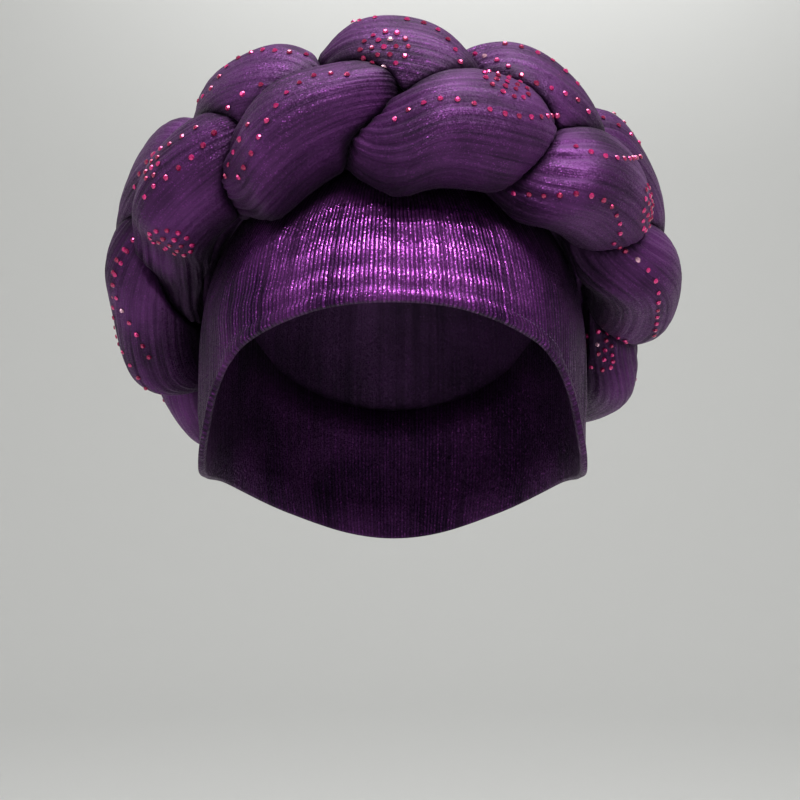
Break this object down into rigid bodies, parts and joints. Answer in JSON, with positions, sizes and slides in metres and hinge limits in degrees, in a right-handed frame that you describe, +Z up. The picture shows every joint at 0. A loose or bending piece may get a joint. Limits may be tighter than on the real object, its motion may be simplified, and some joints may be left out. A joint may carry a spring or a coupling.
{
  "type": "tied head tie",
  "caption": "Ready-tied pleated turban cap with a thick padded three-strand braid ring round it, dotted with small rhinestones.",
  "frame": {"origin": "middle of the head opening, level with the tops of the ears", "axes": "+Z up as worn, the front of the head looks along -Y, the wearer's left is +X"},
  "size_m": [0.2419, 0.2491, 0.2147],
  "materials": {
    "band_cloth": "glossy pleated lurex",
    "crown_cloth": "pleated lurex",
    "braid_cloth": "fine pleated lurex, padded",
    "stitch_thread": "matte thread",
    "rhinestone": "faceted pink hot-fix stones"
  },
  "bodies": {
    "root": {"headband": "band_cloth", "crown": "crown_cloth", "strand_1": "braid_cloth", "strand_2": "braid_cloth", "strand_3": "braid_cloth"}
  },
  "joints": []
}
